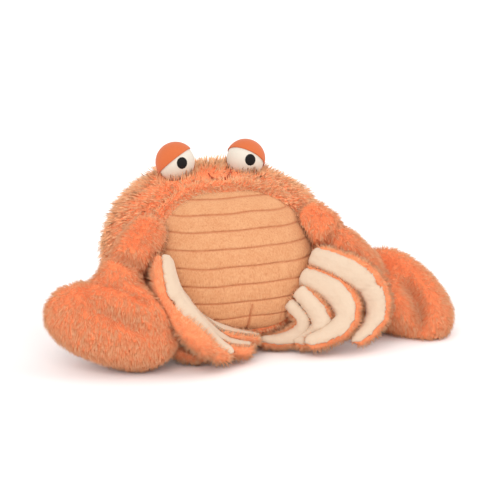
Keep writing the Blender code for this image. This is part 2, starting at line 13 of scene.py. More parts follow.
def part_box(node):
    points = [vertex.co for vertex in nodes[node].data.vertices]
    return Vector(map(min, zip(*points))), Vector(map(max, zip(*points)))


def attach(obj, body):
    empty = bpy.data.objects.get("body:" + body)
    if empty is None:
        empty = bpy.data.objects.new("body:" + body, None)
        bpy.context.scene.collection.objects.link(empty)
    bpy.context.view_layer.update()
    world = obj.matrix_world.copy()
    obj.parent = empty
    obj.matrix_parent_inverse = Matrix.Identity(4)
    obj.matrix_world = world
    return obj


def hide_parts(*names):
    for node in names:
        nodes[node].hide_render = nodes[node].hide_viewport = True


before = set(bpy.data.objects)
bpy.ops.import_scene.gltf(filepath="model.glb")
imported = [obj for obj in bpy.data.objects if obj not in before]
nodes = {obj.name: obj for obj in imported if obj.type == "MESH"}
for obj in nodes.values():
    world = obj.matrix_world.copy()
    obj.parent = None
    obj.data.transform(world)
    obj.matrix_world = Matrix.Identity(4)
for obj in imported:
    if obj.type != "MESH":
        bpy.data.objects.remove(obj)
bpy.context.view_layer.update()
floorLevel = 0.0003  # pile tips stay this far above the table
print("frame loaded:", len(nodes), "solids")

# The photograph's angle, from the origin's pixel and the scale there
viewPlan = {
    "azimuth": -19.5,
    "elevation": 14.5,
    "distance": 1.5,
    "pixelsPerMetre": 1000.0,
    "originPixel": (222.0, 333.0),
    "imageSize": 500.0,
    "sensor": 36.0,
}


def viewFrom(plan):
    azimuth = math.radians(plan["azimuth"])
    elevation = math.radians(plan["elevation"])
    back = Vector((math.sin(azimuth) * math.cos(elevation),
                   -math.cos(azimuth) * math.cos(elevation), math.sin(elevation)))
    right = (-back).cross(Vector((0.0, 0.0, 1.0))).normalized()
    up = right.cross(-back)
    middle = plan["imageSize"] / 2.0
    target = right * ((middle - plan["originPixel"][0]) / plan["pixelsPerMetre"])
    target += up * ((plan["originPixel"][1] - middle) / plan["pixelsPerMetre"])
    return {"right": right, "up": up, "back": back, "eye": target + back * plan["distance"]}


def sightline(pixel):  # the way from the eye through a pixel of the photograph
    middle = viewPlan["imageSize"] / 2.0
    across = (pixel[0] - middle) / viewPlan["pixelsPerMetre"]
    down = (pixel[1] - middle) / viewPlan["pixelsPerMetre"]
    way = view["right"] * across - view["up"] * down - view["back"] * viewPlan["distance"]
    return way.normalized()


view = viewFrom(viewPlan)


def srgb(red, green, blue):  # 0 to 255, as a picture shows it
    steps = [c / 255.0 for c in (red, green, blue)]
    return tuple(c / 12.92 if c < 0.04 else ((c + 0.055) / 1.055) ** 2.4 for c in steps) + (1.0,)


class Wire:  # a socket that can stand in a Python expression
    def __init__(self, paint, socket):
        self.paint = paint
        self.socket = socket

    def maths(self, operation, first, second):
        return self.paint.node("ShaderNodeMath", {"operation": operation}, {0: first, 1: second})

    def __add__(self, other):
        return self.maths("ADD", self, other)

    def __radd__(self, other):
        return self.maths("ADD", other, self)

    def __sub__(self, other):
        return self.maths("SUBTRACT", self, other)

    def __rsub__(self, other):
        return self.maths("SUBTRACT", other, self)

    def __mul__(self, other):
        return self.maths("MULTIPLY", self, other)

    def __rmul__(self, other):
        return self.maths("MULTIPLY", other, self)

    def __truediv__(self, other):
        return self.maths("DIVIDE", self, other)

    def __pow__(self, other):
        return self.maths("POWER", self, other)


class Paint:  # one material, with its nodes made in Python
    def __init__(self, name, roughness=0.9, sheen=0.0, sheenTint=(1.0, 1.0, 1.0, 1.0)):
        self.material = bpy.data.materials.new(name)
        self.material.use_nodes = True
        self.tree = self.material.node_tree
        self.shader = self.tree.nodes["Principled BSDF"]
        self.feed("Roughness", roughness)
        self.feed("Specular IOR Level", 0.25)
        self.feed("Sheen Weight", sheen)
        self.feed("Sheen Roughness", 0.5)
        self.feed("Sheen Tint", sheenTint)

    def node(self, kind, settings=None, sockets=None, output=0):
        made = self.tree.nodes.new(kind)
        for name, value in (settings or {}).items():
            if name == "stops":
                for place, (position, colour) in enumerate(value):
                    stops = made.color_ramp.elements
                    stop = stops[place] if place < 2 else stops.new(position)
                    stop.position = position
                    stop.color = colour
            else:
                setattr(made, name, value)
        for place, value in (sockets or {}).items():
            self.join(value, made.inputs[place])
        return Wire(self, made.outputs[output])

    def join(self, value, socket):
        if isinstance(value, Wire):
            self.tree.links.new(value.socket, socket)
        else:
            socket.default_value = value

    def feed(self, name, value):
        self.join(value, self.shader.inputs[name])

    def mixed(self, share, first, second):
        return self.node("ShaderNodeMix", {"data_type": "RGBA"}, {0: share, 6: first, 7: second}, 2)

    def ramp(self, value, stops):
        return self.node("ShaderNodeValToRGB", {"stops": stops}, {0: value})

    def place(self, scale=(1.0, 1.0, 1.0)):  # where a point is on the toy, in metres
        point = self.node("ShaderNodeTexCoord", output=3)
        return self.node("ShaderNodeMapping", None, {0: point, 3: scale})

    def noise(self, place, scale, detail=2.0, rough=0.5):
        return self.node("ShaderNodeTexNoise", None,
                         {"Vector": place, "Scale": scale, "Detail": detail, "Roughness": rough})

    def bumped(self, height, strength, distance):
        return self.node("ShaderNodeBump", None,
                         {"Height": height, "Strength": strength, "Distance": distance})


# Pile colours, root to tip: the darker roots are painted shade deep in the pile and the paler tips are
# painted light at its surface, with the root of the darkest tufts and the cloth under them
pileColours = {
    "root": (255, 182, 131),
    "middle": (255, 191, 141),
    "tip": (255, 217, 177),
    # the darkest tufts' colour, also the painted shade in the mouth crease
    "darkTuftAndMouthShade": (255, 140, 86),
    "backing": (250, 148, 102),
}


def pilePaint(name, colours):
    paint = Paint(name, 0.85)
    strand = paint.node("ShaderNodeUVMap", {"uv_map": "OFBake"})
    apart = paint.node("ShaderNodeSeparateXYZ", None, {0: strand})
    along = Wire(paint, apart.socket.node.outputs[1])
    # root to tip: painted shade at the roots, painted highlight at the tips
    body = paint.ramp(along, [(0.0, srgb(*colours["root"])), (1.0, srgb(*colours["tip"])),
                              (0.45, srgb(*colours["middle"]))])
    # the dark ramp: the darkest tufts, and the painted shade in the mouth crease
    dark = paint.ramp(along, [(0.0, srgb(*colours["darkTuftAndMouthShade"])), (1.0, srgb(*colours["middle"]))])
    paint.feed("Base Color", paint.mixed(apart, dark, body))
    return paint.material


def skinPaint(name, colours):  # the backing between the strands
    paint = Paint(name, 0.95)
    spots = paint.noise(paint.place(), 260.0, 3.0)
    backing, dark = srgb(*colours["backing"]), srgb(*colours["darkTuftAndMouthShade"])
    paint.feed("Base Color", paint.mixed(spots * 0.4, backing, dark))
    paint.feed("Normal", paint.bumped(spots, 0.6, 0.0015))
    return paint.material


bellyColours = {
    "light": (214, 157, 113),
    "mid": (201, 137, 93),
    "speck": (174, 98, 61),
    # painted shade in the seam grooves and the tucks
    "groove": (178, 102, 65),
}


def bellyPaint():
    paint = Paint("ribbed_pile", 0.9, 0.2, srgb(255, 214, 180))
    place = paint.place()
    combed = paint.place((1.0, 1.0, 0.35))
    grain = paint.noise(combed, 850.0, 2.0, 0.7)
    patches = paint.noise(place, 90.0, 3.0)
    specks = paint.noise(combed, 640.0, 1.0)
    share = paint.ramp(grain * 0.7 + patches * 0.3, [(0.36, (0, 0, 0, 1)), (0.62, (1, 1, 1, 1))])
    base = paint.mixed(share, srgb(*bellyColours["mid"]), srgb(*bellyColours["light"]))
    speckMask = paint.ramp(specks, [(0.56, (0, 0, 0, 1)), (0.74, (1, 1, 1, 1))])
    speckled = paint.mixed(speckMask * 0.35, base, srgb(*bellyColours["speck"]))
    # painted shade: the grooves and tucks are darkened towards the groove colour
    depth = paint.node("ShaderNodeAttribute", {"attribute_name": "groove"}, output=2)
    paint.feed("Base Color", paint.mixed(depth * 0.75, speckled, srgb(*bellyColours["groove"])))
    paint.feed("Normal", paint.bumped(grain, 0.6, 0.0009))
    return paint.material


def clothPaint(name, colour, shade, roughness, napScale, crumple=0.0, sheen=0.15):
    paint = Paint(name, roughness, sheen)
    place = paint.place()
    nap = paint.noise(place, napScale, 3.0, 0.6)
    drift = paint.noise(place, 45.0, 2.0)
    share = nap * 0.5 + drift * 0.5
    paint.feed("Base Color", paint.mixed(share, srgb(*shade), srgb(*colour)))
    folds = paint.noise(paint.place((1.0, 1.0, 1.6)), 95.0, 2.0, 0.45)  # how stuffed cloth puckers
    paint.feed("Normal", paint.bumped(nap * 0.1 + folds * crumple, 0.6, 0.0030))
    return paint.material


def threadPaint(name, colour, lit, roughness):
    paint = Paint(name, roughness)
    fibres = paint.noise(paint.place(), 1800.0, 2.0)
    paint.feed("Base Color", paint.mixed(fibres, srgb(*colour), srgb(*lit)))
    paint.feed("Normal", paint.bumped(fibres, 0.4, 0.0003))
    return paint.material


# the short and leg pile keep the painted shade at the roots and the painted highlight at the tips
shortColours = dict(pileColours, root=(248, 160, 108), middle=(248, 174, 126), tip=(250, 202, 162),
                    backing=(234, 134, 88))
legColours = dict(pileColours, root=(255, 168, 116), middle=(255, 186, 138), tip=(255, 210, 170),
                  backing=(240, 152, 106))
paints = {
    "longPile": pilePaint("long_pile", pileColours),
    "longSkin": skinPaint("long_pile_backing", pileColours),
    "shortPile": pilePaint("short_pile", shortColours),
    "shortSkin": skinPaint("short_pile_backing", shortColours),
    "legPile": pilePaint("leg_pile", legColours),
    "legSkin": skinPaint("leg_pile_backing", legColours),
    "belly": bellyPaint(),
    "cream": clothPaint("cream_cloth", (215, 192, 169), (205, 179, 153), 0.85, 700.0, 1.2),
    "lid": clothPaint("lid_cloth", (205, 107, 58), (192, 93, 47), 0.8, 800.0),
    "eye": clothPaint("eye_cloth", (218, 211, 198), (209, 200, 185), 0.8, 800.0),
    "pupil": threadPaint("black_thread", (13, 11, 10), (26, 23, 21), 0.8),
    # the mouth thread's dark colour is partly its own, partly painted shade of the crease it lies in
    "mouth": threadPaint("mouth_thread", (160, 62, 34), (180, 76, 44), 0.9),
}
print("materials made")


def objectOf(name, mesh, material):
    made = bpy.data.objects.new(name, mesh)
    bpy.context.scene.collection.objects.link(made)
    mesh.materials.clear()
    mesh.materials.append(material)
    mesh.shade_smooth()
    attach(made, "root")
    return made


def pointsOf(mesh):
    flat = np.empty(len(mesh.vertices) * 3, np.float32)
    mesh.vertices.foreach_get("co", flat)
    return flat.reshape(-1, 3).astype(float)


def normalsOf(mesh):
    flat = np.empty(len(mesh.vertices) * 3, np.float32)
    mesh.vertices.foreach_get("normal", flat)
    return flat.reshape(-1, 3).astype(float)


def setPoints(mesh, points):
    mesh.vertices.foreach_set("co", points.astype(np.float32).ravel())
    mesh.update()


def unit(vectors):
    return vectors / np.maximum(np.linalg.norm(vectors, axis=-1, keepdims=True), 1e-9)


def remeshed(nodeNames, voxel, smoothing, share):  # the named solids as one even, softened mesh
    bm = bmesh.new()
    for nodeName in nodeNames:
        bm.from_mesh(nodes[nodeName].data)
    rough = bpy.data.meshes.new("rough")
    bm.to_mesh(rough)
    bm.free()
    holder = bpy.data.objects.new("holder", rough)
    bpy.context.scene.collection.objects.link(holder)
    remesh = holder.modifiers.new("even", "REMESH")
    remesh.mode = "VOXEL"
    remesh.voxel_size = voxel
    soften = holder.modifiers.new("soften", "SMOOTH")
    soften.factor = 0.5
    soften.iterations = smoothing
    fewer = holder.modifiers.new("fewer", "DECIMATE")
    fewer.ratio = share
    graph = bpy.context.evaluated_depsgraph_get()
    mesh = bpy.data.meshes.new_from_object(holder.evaluated_get(graph))
    bpy.data.objects.remove(holder)
    bpy.data.meshes.remove(rough)
    return mesh


seatWish = {"height": 0.006, "lift": 0.001, "least": 0.0006}


def drawnIn(mesh, inset):  # the backing lies under the pile, flat where it rests
    points = pointsOf(mesh)
    moved = points - normalsOf(mesh) * inset
    low = points[:, 2] < seatWish["height"]
    moved[low, 2] = np.minimum(moved[low, 2], points[low, 2] + seatWish["lift"])
    moved[:, 2] = np.maximum(moved[:, 2], seatWish["least"])
    setPoints(mesh, moved)


def treeOf(pieces):
    points = []
    faces = []
    for piece in pieces:
        start = len(points)
        points += [v.co[:] for v in piece.data.vertices]
        faces += [[start + i for i in face.vertices] for face in piece.data.polygons]
    return BVHTree.FromPolygons(points, faces)


def creaseLine(nodeNames, crease):  # on the solids, under the photograph's pixels, between given ends
    tree = treeOf([nodes[nodeName] for nodeName in nodeNames])
    line = [crease["start"]] if "start" in crease else []
    line += [tree.ray_cast(view["eye"], sightline(pixel))[0][:] for pixel in crease.get("pixels", ())]
    line += [crease["end"]] if "end" in crease else []
    return np.array(line)


def dented(mesh, nodeNames, creases):  # soft creases, and puffs where the depth is below 0
    points = pointsOf(mesh)
    normals = normalsOf(mesh)
    moved = points.copy()
    for crease in creases:
        line = creaseLine(nodeNames, crease)
        total = len(line) - 1
        weight = np.zeros(len(points))
        for place, (start, end) in enumerate(zip(line[:-1], line[1:])):
            way = end - start
            share = np.clip((points - start) @ way / (way @ way), 0.0, 1.0)
            gap = np.linalg.norm(points - (start + share[:, None] * way), axis=1)
            fade = np.sin(np.clip((place + share) / total, 0.05, 0.95) * math.pi) ** 0.5
            weight = np.maximum(weight, fade * np.exp(-((gap / crease["width"]) ** 2)))
        moved -= normals * (crease["depth"] * weight)[:, None]
    setPoints(mesh, moved)


def softSkin(name, nodeNames, wish, material):
    mesh = remeshed(nodeNames, wish["voxel"], wish["smoothing"], wish.get("share", 1.0))
    drawnIn(mesh, wish["inset"])
    dented(mesh, nodeNames, wish.get("creases", ()))
    made = objectOf(name, mesh, material)
    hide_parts(*nodeNames)
    return made


def scattered(mesh, count, draws, keep=None):  # even random points with their normals
    mesh.calc_loop_triangles()
    corners = np.empty(len(mesh.loop_triangles) * 3, np.int32)
    mesh.loop_triangles.foreach_get("vertices", corners)
    corners = corners.reshape(-1, 3)
    points = pointsOf(mesh)
    normals = normalsOf(mesh)
    a, b, c = (points[corners[:, k]] for k in range(3))
    area = np.linalg.norm(np.cross(b - a, c - a), axis=1)
    if keep is not None:
        area = area * keep((a + b + c) / 3.0)
    pick = draws.choice(len(area), count, p=area / area.sum())
    u, v = draws.random((2, count, 1))
    over = u + v > 1.0
    u, v = np.where(over, 1.0 - u, u), np.where(over, 1.0 - v, v)
    shares = np.concatenate([1.0 - u - v, u, v], axis=1)
    spots = sum(points[corners[pick, k]] * shares[:, k:k + 1] for k in range(3))
    ups = unit(sum(normals[corners[pick, k]] * shares[:, k:k + 1] for k in range(3)))
    return spots, ups


def nearestOf(spots, centres):
    tree = KDTree(len(centres))
    for place, centre in enumerate(centres):
        tree.insert(centre, place)
    tree.balance()
    return np.array([tree.find(spot)[1] for spot in spots])


def leaning(ups, ways):  # the share of a way that runs along the cloth
    return ways - ups * (ups * ways).sum(axis=1, keepdims=True)


def laid(ups, ways):  # a full lean, but none where the way runs into the cloth
    flat = leaning(ups, ways)
    return flat / np.maximum(np.linalg.norm(flat, axis=1, keepdims=True), 0.25)


def downward(spots, ups):  # how pile lies when it is combed down
    return laid(ups, np.broadcast_to(np.array([0.0, -0.25, -0.97]), ups.shape))


strandWish = {
    "tuftTint": (0.62, 0.22),  # middle and spread, where 0 is the darkest tuft
    "tuftLength": (0.80, 1.15),
    "ownLength": (0.65, 1.10),
    "ownPull": (0.5, 1.0),
    "ownWidth": (0.75, 1.20),
    "ownComb": 0.6,
    "curl": 0.22,
    "rooted": 0.0006,  # how far a strand starts inside its cloth
    "lift": 0.0004,
    "roll": 0.27,  # how far a strand may roll, with its flat side out on average
    "flatness": 0.6,
    "taper": 0.8,
}


def strands(skin, wish, draws, tree, keep):
    count = wish["count"]
    spots, ups = scattered(skin.data, count, draws, keep)
    tufts, tuftUps = scattered(skin.data, max(count // wish["perTuft"], 8), draws, keep)
    lie = wish.get("lie", downward)
    tuftWays = tuftUps + lie(tufts, tuftUps) * wish["comb"]
    tuftWays = unit(tuftWays + draws.normal(0.0, wish["tuftDrift"], tuftWays.shape))
    tuftTints = np.clip(draws.normal(*strandWish["tuftTint"], len(tufts)), 0.0, 1.0)
    tuftLengths = draws.uniform(*strandWish["tuftLength"], len(tufts))
    mine = nearestOf(spots, tufts)
    lengths = wish["length"] * draws.uniform(*strandWish["ownLength"], count) * tuftLengths[mine]
    if "shorten" in wish:
        lengths = lengths * wish["shorten"](spots)
    lies = lie(spots, ups)
    ways = ups + lies * (wish["comb"] * strandWish["ownComb"])
    ways = unit(ways + draws.normal(0.0, wish["drift"], ways.shape))
    pull = (wish["pull"] * draws.uniform(*strandWish["ownPull"], count))[:, None]
    tips = spots + ways * lengths[:, None]
    tips += (tufts[mine] + tuftWays[mine] * lengths[:, None] - tips) * pull
    tips += lies * (wish["droop"] * lengths)[:, None]
    middles = spots + ways * (lengths * 0.5)[:, None]
    middles += (tips - spots) * strandWish["curl"] + (spots + (tips - spots) * 0.5 - middles) * 0.5
    tints = tuftTints[mine] + draws.normal(0.0, wish["tintDrift"], count)
    # a shade map darkens the tints towards the dark ramp: painted shade
    if "shade" in wish:
        tints = tints * wish["shade"](spots)
    tints = np.clip(tints, 0.02, 0.98)
    stay = np.ones(count, bool)
    if tree is not None:
        for n in range(count):
            way = Vector(tips[n] - spots[n])
            far = way.length * wish.get("clear", 0.75)
            start = Vector(spots[n]) + Vector(ups[n]) * strandWish["lift"]
            stay[n] = tree.ray_cast(start, way.normalized(), far)[0] is None
    return tuple(part[stay] for part in (spots, middles, tips, ups, tints))


def ringed(centres, ways, ups, radius, draws):
    sideways = unit(np.cross(ways, ups + draws.normal(0.0, strandWish["roll"], ways.shape)))
    across = np.cross(ways, sideways) * strandWish["flatness"]
    angles = [math.pi * (0.5 + 2.0 * k / 3.0) for k in range(3)]
    return [centres + (sideways * math.cos(a) + across * math.sin(a)) * radius for a in angles]


def pileMesh(name, grown, width, soft, bent, draws):  # closed tapered spikes, three-sided
    spots, middles, tips, ups, tints = grown
    count = len(spots)
    sunk = spots - ups * strandWish["rooted"]
    widths = width * 0.5 * draws.uniform(*strandWish["ownWidth"], (count, 1))
    rings = ringed(sunk, unit(middles - sunk), ups, widths, draws)
    heights = [0.0, 0.0, 0.0]
    if bent:
        rings += ringed(middles, unit(tips - spots), ups, widths * strandWish["taper"], draws)
        heights += [0.5, 0.5, 0.5]
    rings.append(tips)
    heights.append(1.0)
    per = len(rings)
    points = np.stack(rings, axis=1).reshape(-1, 3)
    points[:, 2] = np.maximum(points[:, 2], floorLevel)
    pattern = [(2, 1, 0)]
    top = per - 1
    for k in range(3):
        m = (k + 1) % 3
        if bent:
            pattern += [(k, m, 3 + m), (k, 3 + m, 3 + k), (3 + k, 3 + m, top)]
        else:
            pattern.append((k, m, top))
    pattern = np.array(pattern, np.int32)
    corners = (pattern[None] + (np.arange(count) * per)[:, None, None]).reshape(-1, 3)
    mesh = bpy.data.meshes.new(name)
    mesh.vertices.add(len(points))
    mesh.vertices.foreach_set("co", points.astype(np.float32).ravel())
    mesh.loops.add(corners.size)
    mesh.loops.foreach_set("vertex_index", corners.ravel())
    mesh.polygons.add(len(corners))
    mesh.polygons.foreach_set("loop_start", np.arange(0, corners.size, 3, dtype=np.int32))
    mesh.update(calc_edges=True)
    layer = mesh.uv_layers.new(name="OFBake")
    spread = np.array([-0.004, 0.004, 0.0])[np.arange(per) % 3]
    spread[top] = 0.0
    flatU = (tints[:, None] * 0.98 + 0.01 + spread[None]).ravel()
    flatV = np.tile(np.array(heights), count)
    flat = np.stack([flatU[corners.ravel()], flatV[corners.ravel()]], axis=1)
    layer.data.foreach_set("uv", flat.astype(np.float32).ravel())
    own = points.reshape(count, per, 3) - (spots + (tips - spots) * 0.5)[:, None]
    line = unit(tips - spots)[:, None]
    own = unit(own - line * (own * line).sum(axis=2, keepdims=True))
    own[:, top] = ups
    return mesh, unit(ups[:, None] * soft + own * (1.0 - soft)).reshape(-1, 3)


def joinMeshes(name, parts):
    bm = bmesh.new()
    for mesh, _ in parts:
        bm.from_mesh(mesh)
        bpy.data.meshes.remove(mesh)
    made = bpy.data.meshes.new(name)
    bm.to_mesh(made)
    bm.free()
    return made, np.concatenate([normals for _, normals in parts])


def growPile(name, skin, wish, material, tree=None, keep=None):
    draws = np.random.default_rng(wish["seed"])
    meshes = []
    for bent, part in ((True, "long"), (False, "under")):
        if wish.get(part):
            own = dict(wish, **wish[part])
            grown = strands(skin, own, draws, tree, keep)
            meshes.append(pileMesh(name + part, grown, own["width"], own["soft"], bent, draws))
    mesh, normals = joinMeshes(name, meshes)
    made = objectOf(name, mesh, material)
    mesh.normals_split_custom_set_from_vertices(normals)
    print("pile:", name, len(made.data.polygons), "faces")
    return made


# Body: a shaggy dome. Its backing lies under the pile.
bodyWish = {
    "voxel": 0.003,
    "smoothing": 6,
    "share": 0.6,
    "inset": 0.0030,
    "fill": 0.8,
    "shoulderLevel": 0.128,
    "shoulderReach": 0.028,
    "leftSwell": 0.009,
    "rightDraw": 0.0035,
    "blend": 0.015,  # over which left turns into right
}
bodySkin = softSkin("body_backing", ["body"], bodyWish, paints["longSkin"])

# The shoulders lean to the crab's left, as it flops
bodyPoints = pointsOf(bodySkin.data)
swell = np.exp(-(((bodyPoints[:, 2] - bodyWish["shoulderLevel"]) / bodyWish["shoulderReach"]) ** 2))
leftShare = 1.0 / (1.0 + np.exp(-bodyPoints[:, 0] / bodyWish["blend"]))
bodyPoints[:, 0] += swell * (leftShare * bodyWish["leftSwell"] + (1.0 - leftShare) * bodyWish["rightDraw"])
setPoints(bodySkin.data, bodyPoints)
print("body made")

# Mouth: a crease under a puff of the muzzle, with a thread pulled tight in it, its dark colour partly the
# thread's own and partly painted shade of the crease
mouthWish = {
    "crease": {"pixels": ((208.5, 173.0), (210.5, 176.5), (214.6, 179.0), (219.0, 180.0), (223.0, 179.3),
                          (227.0, 177.5), (230.0, 174.5), (231.0, 171.5), (230.5, 169.0)),
               "width": 0.0034, "depth": 0.0044},
    "puff": {"start": (-0.0010, 0.0110, 0.1610), "end": (0.0080, 0.0120, 0.1615),
             "width": 0.0060, "depth": -0.0025},
    "sink": 0.0004,
    "thread": 0.0014,
}
dented(bodySkin.data, ["body"], (mouthWish["crease"], mouthWish["puff"]))

# Belly: ribs of short pile, sewn at even steps round the front of the body
bellyWish = {
    "columns": 120,
    "rows": 190,
    "overlap": 0.0025,  # how far the panel goes on under the pile
    "ribs": 9,
    "topRib": 0.33,
    "grooveWidth": 0.0007,
    "grooveDepth": 0.0013,
    "crown": 0.0005,
    "grain": 0.00018,
    "wave": 0.0004,
    "ripple": 0.0003,
    "edgeTurn": 0.006,
    "thickness": 0.004,
    "least": 0.001,
    "tucks": (((0.004, 0.051), (0.000, 0.026), 0.0011, 0.0016),
              ((0.036, 0.046), (0.035, 0.032), 0.0010, 0.0007),
              ((-0.030, 0.040), (-0.030, 0.028), 0.0012, 0.0005)),  # two ends, width and depth
    "seed": 3,
}
bellyShape = {"fullness": 2.3, "bodyWidth": 0.226, "bodyDepth": 0.191, "bodyTop": 0.165,
              "bodyLevel": 0.077, "lean": math.radians(15), "bodyFullness": 2.2, "sink": 0.0002}


def bodyFront(x, z):
    shape = bellyShape
    halfHeight = shape["bodyTop"] - shape["bodyLevel"]
    share = np.abs(2.0 * x / shape["bodyWidth"]) ** shape["bodyFullness"]
    share = share + np.abs((z - shape["bodyLevel"]) / halfHeight) ** shape["bodyFullness"]
    bulge = np.maximum(1.0 - share, 0.0) ** (1.0 / shape["bodyFullness"])
    return math.tan(shape["lean"]) * z - shape["bodyDepth"] / 2.0 * bulge


def bellyPanel():
    low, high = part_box("belly_panel")
    shape = bellyShape
    wish = bellyWish
    draws = np.random.default_rng(wish["seed"])
    halfHeight = shape["bodyTop"] - shape["bodyLevel"]
    steps = [math.asin((z - shape["bodyLevel"]) / halfHeight) for z in (low.z, high.z)]
    rib = (steps[1] - steps[0]) / (wish["ribs"] - 1 + wish["topRib"])
    turns = [steps[0] + rib * n for n in range(wish["ribs"])] + [steps[1]]
    sewn = [shape["bodyLevel"] + halfHeight * math.sin(turn) for turn in turns]
    middle = (low.z + high.z) / 2.0
    rise = (high.z - low.z) / 2.0 + wish["overlap"]
    reach = (high.x - low.x) / 2.0 + wish["overlap"]
    even = np.linspace(-1.0, 1.0, wish["rows"])
    up = 1.3 * even - 0.3 * even ** 3
    heights = np.repeat((middle + rise * up)[:, None], wish["columns"], axis=1)
    half = reach * np.maximum(1.0 - np.abs(up) ** shape["fullness"], 1e-6) ** (1.0 / shape["fullness"])
    across = np.sin(np.linspace(-1.0, 1.0, wish["columns"]) * math.pi / 2.0 * 0.96)
    across = across / across[-1]
    x = half[:, None] * across[None]
    surface = bodyFront(x, heights) + shape["sink"]
    wave = wish["wave"] * np.sin(x * 70.0 + 1.0) + wish["ripple"] * np.sin(x * 131.0 + heights * 40.0)
    gap = np.full(x.shape, 1.0)
    crown = np.zeros(x.shape)
    for place in range(1, wish["ribs"]):
        line = sewn[place] + wave * (1.0 + 0.4 * math.sin(place * 2.1))
        gap = np.minimum(gap, np.abs(heights - line))
    for lowSeam, highSeam in zip(sewn[:-1], sewn[1:]):
        share = np.clip((heights - lowSeam) / (highSeam - lowSeam), 0.0, 1.0)
        crown = np.maximum(crown, np.sin(share * math.pi) ** 0.6)
    groove = np.exp(-((gap / wish["grooveWidth"]) ** 2))
    tuck = np.zeros(x.shape)
    for (x0, z0), (x1, z1), width, depth in wish["tucks"]:
        line = np.array([x1 - x0, z1 - z0])
        share = np.clip(((x - x0) * line[0] + (heights - z0) * line[1]) / (line @ line), 0.0, 1.0)
        away = np.hypot(x - x0 - share * line[0], heights - z0 - share * line[1])
        tuck = np.maximum(tuck, np.exp(-((away / width) ** 2)) * depth / wish["grooveDepth"])
    groove = np.maximum(groove, tuck)
    grain = draws.normal(0.0, wish["grain"], x.shape)
    edge = np.maximum(np.abs(across)[None] ** 24, (np.abs(up) ** 24)[:, None])
    y = surface + groove * wish["grooveDepth"] - crown * wish["crown"] + grain + edge * wish["edgeTurn"]
    points = np.stack([x, y, heights], axis=-1).reshape(-1, 3)
    points[:, 2] = np.maximum(points[:, 2], wish["least"])
    back = points + np.array([0.0, wish["thickness"], 0.0])
    count = len(points)
    rows, columns = wish["rows"], wish["columns"]
    grid = np.arange(count).reshape(rows, columns)
    a, b, c, d = grid[:-1, :-1], grid[:-1, 1:], grid[1:, 1:], grid[1:, :-1]
    faces = np.stack([a, b, c, d], axis=-1).reshape(-1, 4)
    rim = np.concatenate([grid[0, :], grid[1:, -1], grid[-1, -2::-1], grid[-2:0:-1, 0]])
    following = np.roll(rim, -1)
    walls = np.stack([rim, rim + count, following + count, following], axis=-1)
    allFaces = np.concatenate([faces, faces[:, ::-1] + count, walls])
    mesh = bpy.data.meshes.new("belly_ribs")
    mesh.from_pydata(np.concatenate([points, back]).tolist(), [], allFaces.tolist())
    mesh.update()
    # the groove depth also sets the painted shade in the belly's colour
    layer = mesh.attributes.new("groove", "FLOAT", "POINT")
    layer.data.foreach_set("value", np.concatenate([groove.ravel()] * 2).astype(np.float32))
    return mesh


bellyPiece = objectOf("belly_ribs", bellyPanel(), paints["belly"])
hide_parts("belly_panel")
print("belly made")

# Eyes: stuffed balls with a lid cloth and an embroidered pupil
eyeWish = {
    "lidThickness": 0.0013,
    "lidLift": 0.002,
    "hem": 0.0005,
    "threads": 26,
    "threadDepth": 0.00012,
    "pupilWidth": 0.0112,
    "pupilHeight": 0.0122,
    "pupilRise": 0.0007,
    "pupilSink": 0.0004,
    "lidGap": 0.00005,
}


def turned(profile, steps):  # a closed section turned about Z
    bm = bmesh.new()
    rings = []
    for n in range(steps):
        angle = 2.0 * math.pi * n / steps
        rings.append([bm.verts.new((r * math.cos(angle), r * math.sin(angle), z)) for r, z in profile])
    for n in range(steps):
        here = rings[n]
        there = rings[(n + 1) % steps]
        for k in range(len(profile) - 1):
            bm.faces.new((here[k], there[k], there[k + 1], here[k + 1]))
    bmesh.ops.remove_doubles(bm, verts=bm.verts[:], dist=0.000002)
    bmesh.ops.recalc_face_normals(bm, faces=bm.faces[:])
    return bm


def meshFrom(bm, name):
    mesh = bpy.data.meshes.new(name)
    bm.to_mesh(mesh)
    bm.free()
    return mesh


